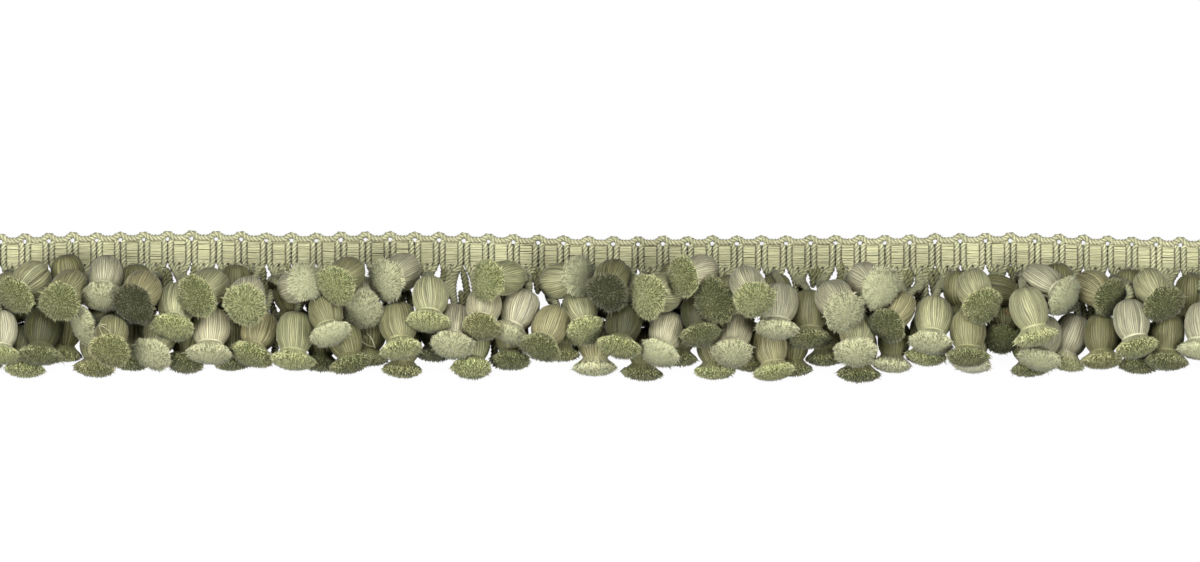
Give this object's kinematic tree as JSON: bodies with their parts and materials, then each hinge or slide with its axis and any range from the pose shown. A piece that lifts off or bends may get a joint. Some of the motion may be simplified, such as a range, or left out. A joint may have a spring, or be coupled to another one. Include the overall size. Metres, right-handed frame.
{
  "type": "onion tassel fringe trim",
  "caption": "Cut length of sage green fringe trim: a woven gimp heading with a picot edge and a dense, heaped row of onion tassels on short cord hangers.",
  "frame": {"origin": "middle of the heading's flat back, at half its length and half its width", "axes": "+X along the heading, +Y from the tassels to the picot edge, +Z out of the heading's front"},
  "size_m": [0.4486, 0.054, 0.0449],
  "materials": {
    "heading_floss": "matte twisted viscose cord and floss, sage green with a beige cast",
    "middle_tassel_floss": "satin viscose floss bulb with a cut velvety brush, deep sage",
    "front_tassel_floss": "satin viscose floss bulb with a cut velvety brush, light sage"
  },
  "bodies": {
    "root": {"heading": "heading_floss", "tassel_middle_01": "middle_tassel_floss", "tassel_middle_02": "middle_tassel_floss", "tassel_middle_03": "middle_tassel_floss", "tassel_middle_04": "middle_tassel_floss", "tassel_middle_05": "middle_tassel_floss", "tassel_middle_06": "middle_tassel_floss", "tassel_middle_07": "middle_tassel_floss", "tassel_middle_08": "middle_tassel_floss", "tassel_middle_09": "middle_tassel_floss", "tassel_middle_10": "middle_tassel_floss", "tassel_middle_11": "middle_tassel_floss", "tassel_middle_12": "middle_tassel_floss", "tassel_middle_13": "middle_tassel_floss", "tassel_middle_14": "middle_tassel_floss", "tassel_middle_15": "middle_tassel_floss", "tassel_middle_16": "middle_tassel_floss", "tassel_middle_17": "middle_tassel_floss", "tassel_middle_18": "middle_tassel_floss", "tassel_middle_19": "middle_tassel_floss", "tassel_middle_20": "middle_tassel_floss", "tassel_middle_21": "middle_tassel_floss", "tassel_middle_22": "middle_tassel_floss", "tassel_middle_23": "middle_tassel_floss", "tassel_middle_24": "middle_tassel_floss", "tassel_middle_25": "middle_tassel_floss", "tassel_middle_26": "middle_tassel_floss", "tassel_middle_27": "middle_tassel_floss", "tassel_middle_28": "middle_tassel_floss", "tassel_middle_29": "middle_tassel_floss", "tassel_middle_30": "middle_tassel_floss", "tassel_middle_31": "middle_tassel_floss", "tassel_middle_32": "middle_tassel_floss", "tassel_middle_33": "middle_tassel_floss", "tassel_middle_34": "middle_tassel_floss", "tassel_front_01": "front_tassel_floss", "tassel_front_02": "front_tassel_floss", "tassel_front_03": "front_tassel_floss", "tassel_front_04": "front_tassel_floss", "tassel_front_05": "front_tassel_floss", "tassel_front_06": "front_tassel_floss", "tassel_front_07": "front_tassel_floss", "tassel_front_08": "front_tassel_floss", "tassel_front_09": "front_tassel_floss", "tassel_front_10": "front_tassel_floss", "tassel_front_11": "front_tassel_floss", "tassel_front_12": "front_tassel_floss", "tassel_front_13": "front_tassel_floss", "tassel_front_14": "front_tassel_floss", "tassel_front_15": "front_tassel_floss", "tassel_front_16": "front_tassel_floss", "tassel_front_17": "front_tassel_floss", "tassel_front_18": "front_tassel_floss", "tassel_front_19": "front_tassel_floss", "tassel_front_20": "front_tassel_floss", "tassel_front_21": "front_tassel_floss", "tassel_front_22": "front_tassel_floss", "tassel_front_23": "front_tassel_floss", "tassel_front_24": "front_tassel_floss"}
  },
  "joints": []
}
